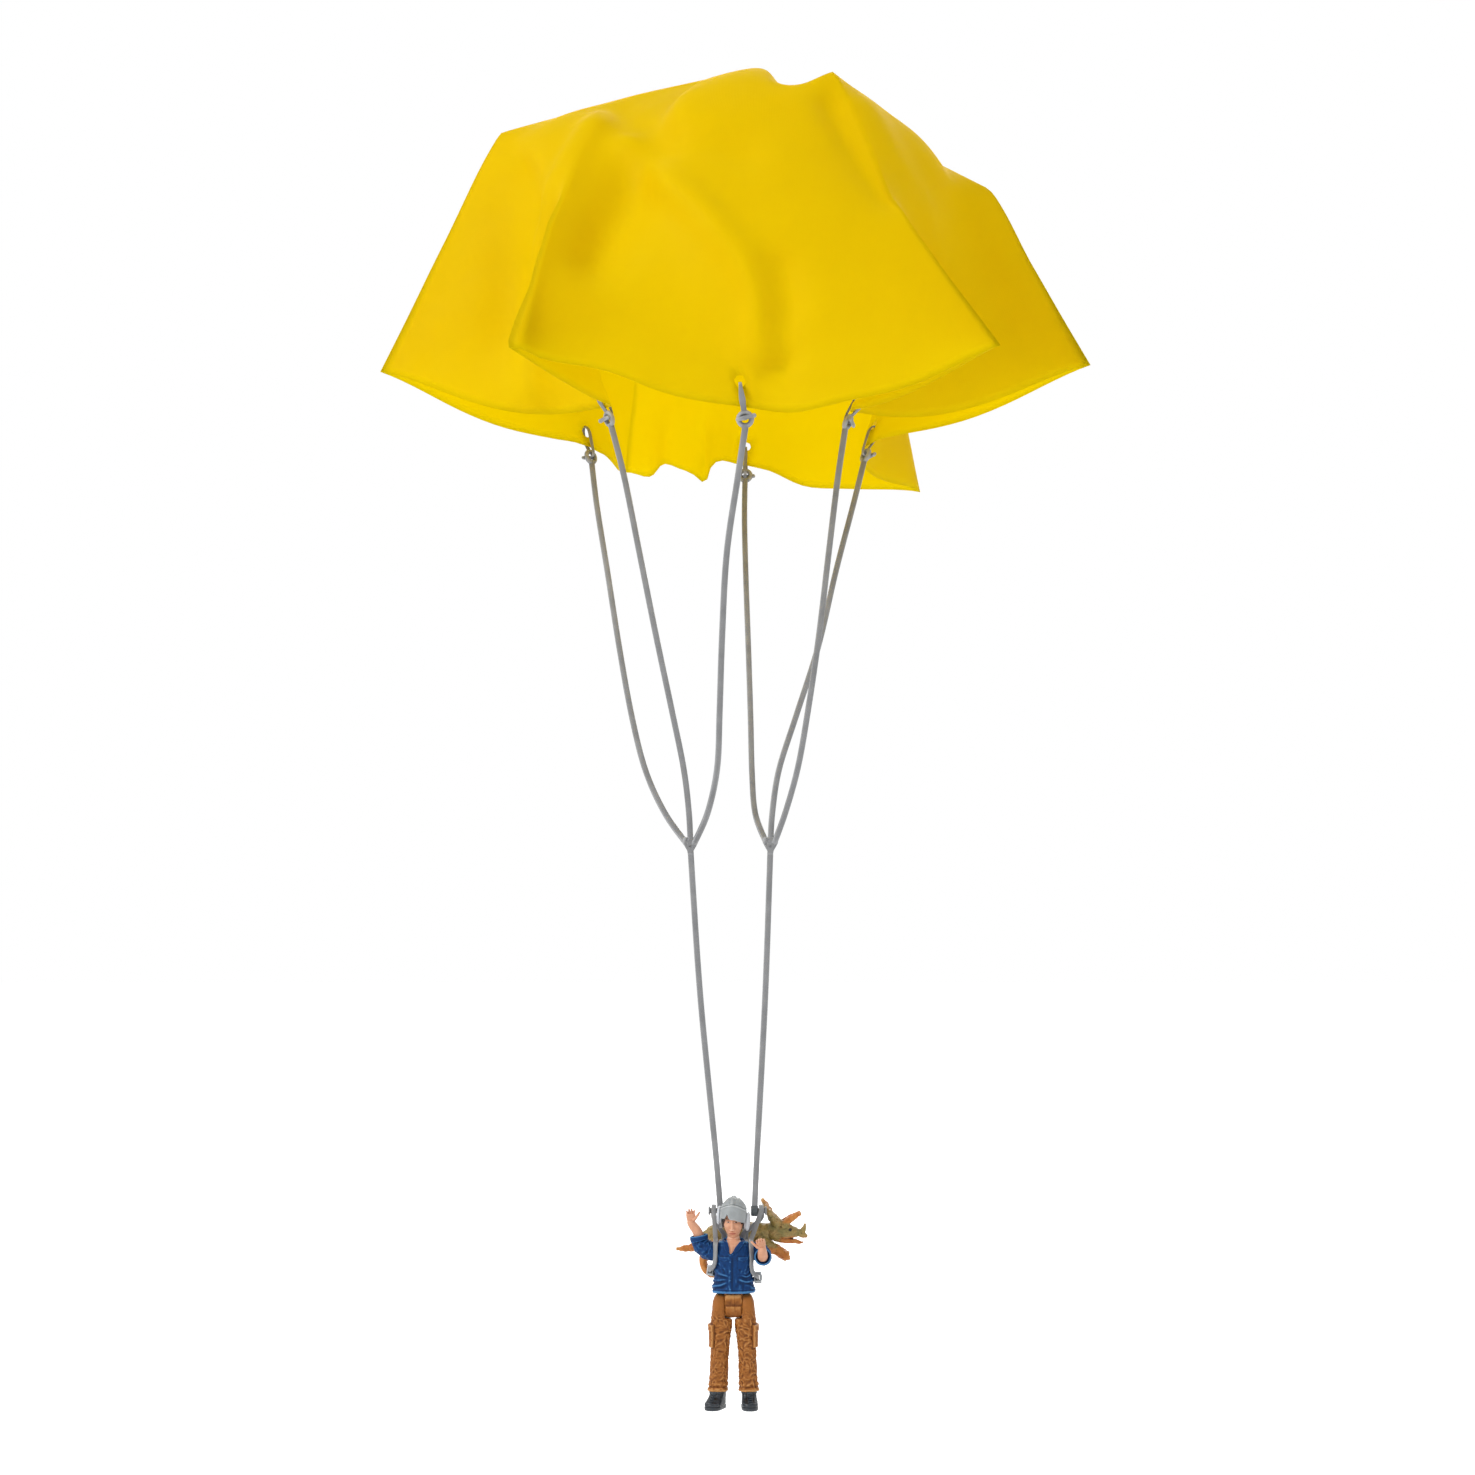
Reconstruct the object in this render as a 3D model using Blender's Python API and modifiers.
# A toy parachute that lowers a jointed figure: a cloth canopy, two three-legged rubber risers, a harness
# with a small horned dinosaur slung behind it, and the figure with its helmet.
# Metres, +Z up, the front faces -Y. The origin is the crown of the canopy.
import math

import bmesh
import bpy
from mathutils import Matrix, Vector

# Gap that is left between two pieces which touch
GAP = 0.0003
# How far a cutter runs past what it cuts
OVERRUN = 0.0010

# Canopy: the furthest tip from the axis, and the lowest hem below the crown
CANOPY_REACH = 0.1685
CANOPY_DROP = 0.180
CLOTH = 0.0006
CUT_RADIUS = 0.2310
HEM_MARGIN = 0.0090
HOLE_RADIUS = 0.0026
CANOPY_COLUMNS = 4
CANOPY_ROWS = 10

# Riser straps, flat moulded rubber
STRAP_WIDTH = 0.0027
STRAP_DEPTH = 0.0020
EYELET_RADIUS = 0.0027
EYELET_WIRE = 0.0011
TAIL_WIDTH = 0.0016
TAIL_DEPTH = 0.0007
TAIL_BULGE = 0.0019
TAB_LENGTH = 0.0085
TAB_RADIUS = 0.0008

# Where the two risers join, how far below the crown, and how long the trunks are
JUNCTION_DROP = 0.3575
JUNCTION_LEFT_X = -0.0250
JUNCTION_RIGHT_X = 0.0112
JUNCTION_Y = 0.0040
BLOCK_HEIGHT = 0.0050
BLOCK_RIB = 0.0004
TRUNK_LENGTH = 0.1660

# The foot of each trunk, a peg along X that the harness hangs and swings on
HANG_X = -0.0037
HANG_Y = 0.0090
TRUNK_HALF_SPACING = 0.0076
PEG_RADIUS = 0.0012
BOSS_RADIUS = 0.0019
FLANGE_DEPTH = 0.0008

# Harness
WEB_WIDTH = 0.0021
WEB_DEPTH = 0.0010
WEB_CLEARANCE = 0.0004
SHOULDER_STRAP_X = 0.0079
BUCKLE_WALL = 0.0006
BUCKLE_LENGTH = 0.0024
PACK_HALF_WIDTH = 0.0068
PACK_DEPTH = 0.0050
PACK_HEIGHT = 0.0200
PACK_ROUND = 0.0014
PACK_DROP = 0.0008
RIB_DEPTH = 0.0005
BAND_WIDTH = 0.0026
BAND_WALL = 0.0009
BAND_CLEARANCE = 0.0004

# Figure, whose middle hangs a little to the left of the two pegs
FIGURE_X = -0.0055
COLLAR_DROP = 0.0118
TORSO_HEIGHT = 0.0227
TORSO_HALF_WIDTH = 0.0087
TORSO_HALF_DEPTH = 0.0056
SOCKET_CLEARANCE = 0.0003
COLLAR_WIDTH = 0.0017
PLACKET_WIDTH = 0.0013
SEAM_DEPTH = 0.0006
SHOULDER_DROP = 0.0050
SHOULDER_Y = 0.0005
SHOULDER_PEG_RADIUS = 0.0015
SHOULDER_PEG_LENGTH = 0.0026
SLEEVE_RADIUS = 0.0040
HAND_LENGTH = 0.0080
HAND_HALF_WIDTH = 0.0021
HIP_RADIUS = 0.0054
HIP_CLEARANCE = 0.0005
CROTCH_HALF_WIDTH = 0.0036
AXLE_RADIUS = 0.0009
AXLE_SEAT = 0.0022
LEG_LENGTH = 0.0366
LEG_HALF_WIDTH = 0.0040
LEG_INSET = 0.0006
POCKET_DEPTH = 0.0007
BOOT_HEIGHT = 0.0075
BOOT_HALF_WIDTH = 0.0035
BOOT_HALF_LENGTH = 0.0061
BOOT_TURN_SHARES = {"left": 0.30, "right": 0.06}
NECK_RADIUS = 0.0025
NECK_PEG_RADIUS = 0.0015
NECK_PEG_LENGTH = 0.0032
CHIN_RISE = 0.0006
HEAD_HEIGHT = 0.0161
HEAD_HALF_WIDTH = 0.0044
HEAD_HALF_DEPTH = 0.0055
HELMET_CLEARANCE = 0.0005
HELMET_WALL = 0.0011
HELMET_CROWN = 0.0032
HELMET_SKIRT = 0.0125
PEAK_REACH = 0.0009
PEAK_WALL = 0.0009
RIDGE_WIDTH = 0.0009
RIDGE_DEPTH = 0.0007
EAR_CUP_RADIUS = 0.0040
EAR_CUP_DEPTH = 0.0018

# Dinosaur
DINO_GIRTH = 0.0054
DINO_DROP = 0.0120

# Worked out from the sizes above
HINGE_Z = -(JUNCTION_DROP + TRUNK_LENGTH)
LOOP_HALF_SPACING = TRUNK_HALF_SPACING + STRAP_WIDTH / 2 + GAP * 2 + WEB_WIDTH / 2
TORSO_TOP = HINGE_Z - COLLAR_DROP
TORSO_BOTTOM = TORSO_TOP - TORSO_HEIGHT
SHOULDER_Z = TORSO_TOP - SHOULDER_DROP
HIP_Z = TORSO_BOTTOM - HIP_CLEARANCE - HIP_RADIUS
TROUSER_HEM = HIP_Z - LEG_LENGTH
SOLE_Z = TROUSER_HEM - GAP - BOOT_HEIGHT
CHIN_Z = TORSO_TOP + CHIN_RISE
HEAD_MIDDLE = CHIN_Z + HEAD_HEIGHT / 2
PACK_FRONT = TORSO_HALF_DEPTH + GAP
PACK_BACK = PACK_FRONT + PACK_DEPTH
DINO_Y = PACK_BACK + GAP * 2 + BAND_WALL + BAND_CLEARANCE + DINO_GIRTH * 1.06
DINO_Z = TORSO_TOP - DINO_DROP + HEAD_HEIGHT * 0.75

# The folds of the canopy, anticlockwise from the right. Each is a ridge or not, then its stations from
# the crown to the hem: bearing in degrees, share of the reach, share of the drop.
FOLD_SHARES = (
    (True, ((2.5, 0.677, 0.308), (2.2, 0.784, 0.499), (3.6, 0.951, 0.762))),
    (False, ((32.7, 0.440, 0.161), (32.6, 0.551, 0.517), (33.0, 0.414, 0.939))),
    (True, ((50.8, 0.482, 0.178), (51.0, 0.672, 0.572), (51.6, 0.848, 0.981))),
    (False, ((89.0, 0.446, 0.167), (89.2, 0.582, 0.528), (89.9, 0.487, 0.942))),
    (True, ((119.7, 0.451, 0.167), (119.3, 0.627, 0.544), (117.8, 0.772, 0.921))),
    (False, ((152.1, 0.482, 0.156), (152.3, 0.588, 0.500), (152.9, 0.495, 0.942))),
    (True, ((180.0, 0.674, 0.167), (180.0, 0.835, 0.476), (178.3, 1.000, 0.787))),
    (False, ((194.2, 0.531, 0.183), (203.7, 0.591, 0.430), (211.5, 0.432, 0.937))),
    (True, ((214.9, 0.467, 0.237), (224.1, 0.691, 0.550), (227.7, 0.842, 0.894))),
    (False, ((230.9, 0.421, 0.267), (240.4, 0.573, 0.600), (238.0, 0.672, 0.924))),
    (False, ((246.8, 0.388, 0.200), (262.9, 0.562, 0.600), (269.2, 0.522, 1.000))),
    (False, ((286.2, 0.346, 0.150), (286.2, 0.581, 0.578), (292.0, 0.615, 1.000))),
    (True, ((306.0, 0.252, 0.132), (307.8, 0.376, 0.110), (308.2, 0.665, 0.561), (315.0, 0.881, 0.878))),
    (False, ((345.3, 0.468, 0.200), (340.8, 0.542, 0.500), (327.9, 0.335, 0.937))),
)

# Which riser and which fold each branch hangs from, which place it takes in its block, and how its route
# runs: shares of the way down, and at each of them the shares of the way out to the canopy.
ROUTE_DROP_SHARES = (0, 0.12, 0.30, 0.50, 0.68, 0.82, 0.93, 1)
SIDE_DEPTH_SHARES = (1, 0.92, 0.79, 0.65, 0.50, 0.36, 0.18, 0)
MIDDLE_DEPTH_SHARES = (1, 0.86, 0.67, 0.47, 0.26, 0.09, 0.02, 0)
BRANCHES = (
    ("left_back", "left", 5, -1, (1, 0.94, 0.82, 0.69, 0.555, 0.41, 0.21, 0), SIDE_DEPTH_SHARES),
    ("left_front", "left", 7, 0, (1, 0.84, 0.65, 0.44, 0.24, 0.09, 0.02, 0), MIDDLE_DEPTH_SHARES),
    ("front", "left", 10, 1, (1, 0.85, 0.64, 0.55, 0.50, 0.45, 0.26, 0), SIDE_DEPTH_SHARES),
    ("back", "right", 3, -1, (1, 1.03, 0.95, 0.82, 0.72, 0.66, 0.50, 0), SIDE_DEPTH_SHARES),
    ("right_back", "right", 1, 0, (1, 0.88, 0.69, 0.50, 0.27, 0.09, 0.02, 0), MIDDLE_DEPTH_SHARES),
    ("right_front", "right", 13, 1, (1, 0.90, 0.77, 0.63, 0.475, 0.33, 0.15, 0), SIDE_DEPTH_SHARES),
)
TRUNK_DROP_SHARES = (0, 0.16, 0.30, 0.44, 0.58, 0.72, 0.86, 1)
TRUNK_OUT_SHARES = (0, 0.12, 0.23, 0.36, 0.52, 0.69, 0.86, 1)

# Torso sections from the collar to the hem: share of the height, of the half width, of the half depth
TORSO_SHARES = (
    (0.000, 0.36, 0.52),
    (0.030, 0.70, 0.66),
    (0.090, 0.91, 0.81),
    (0.200, 0.97, 0.94),
    (0.360, 0.98, 1.00),
    (0.550, 0.96, 0.98),
    (0.760, 0.98, 0.93),
    (0.940, 1.08, 1.00),
    (1.000, 1.06, 0.98),
)
# The collar's strip and the placket on the chest: share of the height, turn in degrees from the front
COLLAR_ROUTE = ((0.34, 4), (0.22, 13), (0.11, 27), (0.04, 48))
PLACKET_ROUTE = ((0.33, -3), (0.48, -3), (0.66, -3), (0.83, -3), (0.96, -3))
# A shoulder strap on the torso: share of the height, turn in degrees from the front, and how many lifts
# it stands off, or None where the buckle sits between. BUCKLE_POINT counts from the end of the route.
STRAP_SKIN_SHARES = {
    "left": ((0.12, 53, 2.0), (0.22, 54, 1.3), (0.33, 56, 1.1), (0.43, 60, 1.1), (0.505, 68, 1.5),
             (0.555, 82, 2.2), (0.585, 98, 2.5), (0.61, 114, None), (0.635, 124, 2.8), (0.66, 131, 1.6)),
    "right": ((0.12, 52, 2.0), (0.21, 54, 1.3), (0.34, 56, 1.1), (0.48, 57, 1.1), (0.60, 63, 1.3),
              (0.68, 77, 2.4), (0.73, 95, None), (0.76, 108, 2.8), (0.79, 128, 1.6)),
}
STRAP_END_SHARES = {"left": 0.66, "right": 0.79}
BUCKLE_POINT = -5
# Leg sections below the hip: share of the leg length, centre as a share of the top centre, half width and
# half depth as shares of the leg's half width
LEG_SHARES = (
    (0.000, 0.98, 0.66, 1.16),
    (0.145, 0.99, 0.68, 1.22),
    (0.200, 0.80, 1.12, 1.22),
    (0.300, 0.82, 1.08, 1.18),
    (0.460, 0.88, 0.98, 1.12),
    (0.620, 0.92, 0.95, 1.06),
    (0.850, 0.97, 0.97, 1.08),
    (0.930, 1.01, 1.01, 1.12),
    (1.000, 1.02, 1.01, 1.10),
)
# Hip disc of each leg, outwards from its flat inner face: share of its width, share of the hip radius
HIP_DISC_SHARES = ((0.0, 1.0), (0.40, 1.0), (0.66, 0.95), (0.84, 0.80), (0.95, 0.56), (1.0, 0.30))
# Boot sections above the sole: share of the height, half width, half length, shift to the heel
BOOT_SHARES = (
    (0.00, 0.96, 0.97, 0.00),
    (0.03, 1.00, 1.00, 0.00),
    (0.19, 1.00, 1.00, 0.00),
    (0.21, 0.94, 0.95, 0.00),
    (0.40, 0.95, 0.92, 0.02),
    (0.60, 0.92, 0.78, 0.16),
    (0.78, 0.90, 0.62, 0.32),
    (1.00, 0.88, 0.58, 0.36),
)
# Helmet sections from the rim to the crown: share of the height, share of the half sizes
HELMET_SHARES = (
    (0.00, 1.00),
    (0.30, 1.00),
    (0.55, 0.97),
    (0.72, 0.88),
    (0.86, 0.62),
    (0.95, 0.36),
    (1.00, 0.10),
)
# Arms, from the shoulder: along the arm's own side, forward, up, and the radius, in sleeve radii. The
# sleeve ends at the row that CUFF_ROW counts, and the forearm goes on from there.
ARM_SHARES = {
    "left": ((0.0, 0.0, 0.0, 0.97), (0.12, 0.0, 0.0, 1.04), (0.75, 0.0, 0.20, 1.03), (1.25, 0.0, 0.60, 0.97),
             (1.52, 0.0, 1.10, 0.93), (1.64, 0.0, 1.68, 0.92), (1.90, 0.02, 2.30, 0.54), (2.25, 0.04, 2.75, 0.50),
             (2.50, 0.05, 3.10, 0.45)),
    "right": ((0.0, 0.0, 0.0, 0.97), (0.12, 0.0, 0.0, 1.00), (0.72, 0.12, -0.10, 1.00),
              (1.02, 0.58, -0.32, 0.92), (1.08, 1.12, -0.48, 0.88), (1.04, 1.60, -0.40, 0.85),
              (0.99, 2.22, 0.02, 0.54), (0.97, 2.50, 0.30, 0.49), (0.96, 2.68, 0.52, 0.45)),
}
CUFF_ROW = 5
HAND_AIM = {"left": (0.05, 0.05, 1.0), "right": (-0.20, 0.25, 1.0)}
THUMB_SIDE = {"left": -1, "right": -1}

# The dinosaur seen from its side: along it from the middle of its back, up, radius, in its girth
SPINE_SHARES = (
    (-4.78, -1.17, 0.09),
    (-4.10, -1.14, 0.22),
    (-3.30, -1.02, 0.32),
    (-2.35, -0.52, 0.64),
    (-1.30, -0.06, 0.92),
    (0.20, 0.02, 1.00),
    (1.50, 0.08, 0.90),
    (2.40, 0.16, 0.76),
    (3.10, 0.24, 0.62),
)
HEAD_SHARES = (
    (2.60, 0.28, 0.40),
    (3.05, 0.30, 0.74),
    (3.80, 0.27, 0.78),
    (4.50, 0.25, 0.62),
    (5.20, 0.18, 0.46),
    (5.75, 0.12, 0.32),
    (6.05, -0.02, 0.20),
    (6.13, -0.20, 0.08),
)
JAW_SHARES = ((3.60, -0.10, 0.36), (4.40, -0.32, 0.34), (5.00, -0.50, 0.20), (5.45, -0.60, 0.14),
              (5.81, -0.66, 0.07))
NOSE_HORN_SHARES = ((5.75, 0.28, 0.24), (5.92, 0.60, 0.17), (6.03, 0.95, 0.06))
BROW_HORN_SHARES = ((4.05, 0.80, 0.29), (4.85, 1.38, 0.23), (5.62, 1.80, 0.15))
BROW_SPREAD_SHARE = 0.42
FRILL_SHARES = ((3.80, 0.70, 0.70, 0.50), (3.38, 1.28, 1.05, 0.44), (2.98, 1.95, 1.22, 0.36),
                (2.62, 2.58, 0.95, 0.25), (2.40, 3.00, 0.50, 0.12))
FORE_LEG_SHARES = ((1.95, -0.35, 0.55), (2.70, -0.78, 0.48), (3.50, -1.20, 0.42), (4.20, -1.62, 0.39),
                   (4.62, -1.88, 0.34))
HIND_LEG_SHARES = ((-1.40, -0.40, 0.62), (-2.10, -1.30, 0.44), (-2.55, -2.15, 0.28),
                   (-2.20, -2.95, 0.26), (-1.75, -3.20, 0.26))
LEG_SPREAD_SHARE = 0.55
BAND_PLACE_SHARES = (-0.35, 1.00)


def clear_scene():
    for item in list(bpy.data.objects):
        bpy.data.objects.remove(item, do_unlink=True)


def new_collection(name):
    made = bpy.data.collections.new(name)
    bpy.context.scene.collection.children.link(made)
    return made


clear_scene()
PARTS = new_collection("toy_parachute")
CUTTERS = new_collection("cutters")


def make_material(name, colour, roughness, metallic=0.0):
    made = bpy.data.materials.new(name)
    made.use_nodes = True
    shader = made.node_tree.nodes["Principled BSDF"]
    shader.inputs["Base Color"].default_value = (*colour, 1)
    shader.inputs["Roughness"].default_value = roughness
    shader.inputs["Metallic"].default_value = metallic
    made.diffuse_color = (*colour, 1)
    return made


YELLOW_CLOTH = make_material("yellow_cloth", (0.83, 0.58, 0.0), 0.62)
GREY_RUBBER = make_material("grey_rubber", (0.30, 0.30, 0.31), 0.55)
GREY_SHELL = make_material("grey_shell", (0.40, 0.43, 0.44), 0.38)
PALE_SHELL = make_material("pale_shell", (0.62, 0.66, 0.71), 0.35)
SKIN = make_material("skin", (0.74, 0.35, 0.23), 0.5)
BLUE_SHIRT = make_material("blue_shirt", (0.012, 0.07, 0.25), 0.6)
BROWN_TROUSERS = make_material("brown_trousers", (0.39, 0.14, 0.024), 0.6)
BLACK_BOOT = make_material("black_boot", (0.012, 0.017, 0.022), 0.45)
STEEL = make_material("steel", (0.55, 0.55, 0.56), 0.3, 1.0)
DINOSAUR_HIDE = make_material("dinosaur_hide", (0.38, 0.25, 0.08), 0.6)


def link(name, mesh, material, collection=None):
    made = bpy.data.objects.new(name, mesh)
    (collection or PARTS).objects.link(made)
    if material:
        mesh.materials.clear()
        mesh.materials.append(material)
    mesh.shade_smooth()
    mesh.set_sharp_from_angle(angle=math.radians(35))
    return made


def from_bmesh(name, bm, material, collection=None):
    mesh = bpy.data.meshes.new(name)
    bmesh.ops.recalc_face_normals(bm, faces=bm.faces)
    bm.to_mesh(mesh)
    bm.free()
    return link(name, mesh, material, collection)


def loft(name, rings, material, collection=None):
    # A closed solid through a row of rings that have as many points each
    bm = bmesh.new()
    rows = [[bm.verts.new(point) for point in ring] for ring in rings]
    for low, high in zip(rows, rows[1:]):
        count = len(low)
        for k in range(count):
            n = (k + 1) % count
            bm.faces.new((low[k], low[n], high[n], high[k]))
    bm.faces.new(rows[0])
    bm.faces.new(rows[-1])
    return from_bmesh(name, bm, material, collection)


def oval(centre, across, deep, half_width, half_depth, sides, power=2.0):
    # One ring: an ellipse, or a squarer one for a higher power
    points = []
    for k in range(sides):
        turn = 2 * math.pi * (k + 0.5) / sides
        c, s = math.cos(turn), math.sin(turn)
        x = math.copysign(abs(c) ** (2 / power), c) * half_width
        y = math.copysign(abs(s) ** (2 / power), s) * half_depth
        points.append(centre + across * x + deep * y)
    return points


def frames(path, across):
    # At each point of a path, the two directions square to it, the first kept close to across
    made = []
    for k, point in enumerate(path):
        tangent = (path[min(k + 1, len(path) - 1)] - path[max(k - 1, 0)]).normalized()
        hint = across[k] if isinstance(across, list) else across
        side = (hint - tangent * hint.dot(tangent)).normalized()
        made.append((side, tangent.cross(side)))
    return made


def limb(name, path, radii, across, material, sides=12, flat=1.0, collection=None):
    rings = []
    for point, radius, (side, deep) in zip(path, radii, frames(path, across)):
        rings.append(oval(point, side, deep, radius, radius * flat, sides))
    return loft(name, rings, material, collection)


def ribbon(name, path, across, width, depth, material, collection=None):
    # A strap of rectangular section along a path
    rings = []
    for point, (side, deep) in zip(path, frames(path, across)):
        a, b = side * width / 2, deep * depth / 2
        rings.append([point + a + b, point - a + b, point - a - b, point + a - b])
    return loft(name, rings, material, collection)


def curve_point(points, k, t):
    # Catmull-Rom between points k and k+1
    last = len(points) - 1
    p0, p1, p2, p3 = (points[min(max(i, 0), last)] for i in (k - 1, k, k + 1, k + 2))
    return 0.5 * (
        2 * p1 + (p2 - p0) * t + (2 * p0 - 5 * p1 + 4 * p2 - p3) * t * t + (3 * p1 - p0 - 3 * p2 + p3) * t**3
    )


def smooth_path(points, count, fine=12):
    # The same route as evenly spaced points on a smooth curve
    dense = [curve_point(points, k, i / fine) for k in range(len(points) - 1) for i in range(fine)]
    dense.append(points[-1])
    return even_path(dense, dense, count)


def even_path(dense, values, count):
    # What values holds along a dense path, at evenly spaced places
    run = [0.0]
    for a, b in zip(dense, dense[1:]):
        run.append(run[-1] + (b - a).length)
    made = []
    k = 0
    for i in range(count):
        want = run[-1] * i / (count - 1)
        while k < len(dense) - 2 and run[k + 1] < want:
            k += 1
        share = (want - run[k]) / max(run[k + 1] - run[k], 1e-12)
        made.append(values[k].lerp(values[k + 1], min(share, 1)))
    return made


def cylinder(name, radius, start, end, material, sides=16, collection=None):
    axis = end - start
    bm = bmesh.new()
    bmesh.ops.create_cone(
        bm, cap_ends=True, segments=sides, radius1=radius, radius2=radius, depth=axis.length,
        matrix=Matrix.Translation((start + end) / 2) @ axis.to_track_quat("Z", "Y").to_matrix().to_4x4(),
    )
    return from_bmesh(name, bm, material, collection)


def box(name, low, high, material, rounding=0.0, collection=None):
    bm = bmesh.new()
    size = high - low
    bmesh.ops.create_cube(bm, size=1, matrix=Matrix.Translation((low + high) / 2) @ Matrix.Diagonal((*size, 1)))
    if rounding:
        bmesh.ops.bevel(bm, geom=bm.edges, offset=rounding, segments=2, profile=0.5, affect="EDGES", material=-1)
    return from_bmesh(name, bm, material, collection)


def boolean(target, other, operation):
    step = target.modifiers.new(operation.lower(), "BOOLEAN")
    step.operation = operation
    step.solver = "EXACT"
    step.object = other


def fuse(target, others):
    # One body from pieces that are moulded together
    for other in others:
        boolean(target, other, "UNION")
    view = bpy.context.evaluated_depsgraph_get()
    mesh = bpy.data.meshes.new_from_object(target.evaluated_get(view), depsgraph=view)
    material = target.data.materials[0]
    target.modifiers.clear()
    target.data = mesh
    mesh.materials.clear()
    mesh.materials.append(material)
    for other in others:
        bpy.data.objects.remove(other, do_unlink=True)
    return target


def cut(target, cutter):
    boolean(target, cutter, "DIFFERENCE")
    cutter.hide_render = True
    cutter.display_type = "WIRE"
    return target


def canopy_stations(fold):
    points = [Vector((0, 0, 0))]
    for bearing, out_share, drop_share in fold[1]:
        turn = math.radians(bearing)
        out = out_share * CANOPY_REACH
        points.append(Vector((math.cos(turn) * out, math.sin(turn) * out, -drop_share * CANOPY_DROP)))
    return points


def fold_line(fold, fine=12):
    # From the crown to the hem. A ridge keeps its knees, a valley is rounded.
    points = canopy_stations(fold)
    softness = 0.15 if fold[0] else 0.95
    dense = []
    for k in range(len(points) - 1):
        straight = points[k + 1] - points[k]
        for i in range(fine):
            t = i / fine
            dense.append(curve_point(points, k, t) * softness + (points[k] + straight * t) * (1 - softness))
    dense.append(points[-1])
    return even_path(dense, dense, 61)


FOLD_LINES = [fold_line(fold) for fold in FOLD_SHARES]


def canopy_point(column, down):
    # column counts folds anticlockwise and may lie between two, down runs from 0 at the crown to 1
    count = len(FOLD_LINES)
    k = int(math.floor(column)) % count
    t = column - math.floor(column)
    row = down * 60
    low = min(int(row), 59)
    near = [line[low].lerp(line[low + 1], row - low) for line in (FOLD_LINES[(k + i - 1) % count] for i in range(4))]
    chord = near[2] - near[1]
    leave = chord if FOLD_SHARES[k][0] else (near[2] - near[0]) / 2
    arrive = chord if FOLD_SHARES[(k + 1) % count][0] else (near[3] - near[1]) / 2
    t2, t3 = t * t, t**3
    point = (
        near[1] * (2 * t3 - 3 * t2 + 1) + leave * (t3 - 2 * t2 + t) + near[2] * (3 * t2 - 2 * t3)
        + arrive * (t3 - t2)
    )
    # The cloth is cut as a round, so that its hem bows between two folds
    bow = chord.length_squared / (CUT_RADIUS * 8) * math.sin(math.pi * t) ** 2 * down**4
    along = FOLD_LINES[k][low + 1] - FOLD_LINES[k][low]
    along = along.lerp(FOLD_LINES[(k + 1) % count][low + 1] - FOLD_LINES[(k + 1) % count][low], t)
    return point + along.normalized() * bow


def hem_frame(fold_number):
    # The hole's centre, and the directions sideways, down to the hem and outwards there
    line_length = sum((b - a).length for a, b in zip(FOLD_LINES[fold_number], FOLD_LINES[fold_number][1:]))
    share = 1 - HEM_MARGIN / line_length
    hole = canopy_point(fold_number, share)
    down = (canopy_point(fold_number, 1) - hole).normalized()
    side = canopy_point(fold_number + 0.12, share) - canopy_point(fold_number - 0.12, share)
    side = (side - down * side.dot(down)).normalized()
    out = side.cross(down)
    flat = Vector((hole.x, hole.y, 0))
    if out.dot(flat) < 0:
        side, out = -side, -out
    return hole, side, down, out


def make_canopy():
    columns = CANOPY_COLUMNS * len(FOLD_SHARES)
    bm = bmesh.new()
    bmesh.ops.create_uvsphere(bm, u_segments=columns, v_segments=2 * CANOPY_ROWS, radius=1)
    below = [v for v in bm.verts if v.co.z < -0.5 / CANOPY_ROWS]
    bmesh.ops.delete(bm, geom=below, context="VERTS")
    for v in bm.verts:
        down = math.acos(max(-1, min(1, v.co.z))) / (math.pi / 2)
        column = math.atan2(v.co.y, v.co.x) / (2 * math.pi) * columns
        v.co = canopy_point(round(column) / CANOPY_COLUMNS, min(down, 1)) if down > 1e-3 else Vector((0, 0, 0))
    mesh = bpy.data.meshes.new("canopy")
    bm.to_mesh(mesh)
    bm.free()
    canopy = link("canopy", mesh, YELLOW_CLOTH)
    wall = canopy.modifiers.new("cloth", "SOLIDIFY")
    wall.thickness = CLOTH
    wall.offset = -1
    for name, _, fold_number, _, _, _ in BRANCHES:
        hole, _, _, out = hem_frame(fold_number)
        reach = out * (CLOTH + OVERRUN) * 3
        cut(canopy, cylinder("hem_hole_" + name, HOLE_RADIUS, hole - reach, hole + reach, None, 7, CUTTERS))


def block_place(side):
    x = JUNCTION_LEFT_X if side == "left" else JUNCTION_RIGHT_X
    return Vector((x, JUNCTION_Y, -JUNCTION_DROP))


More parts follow.
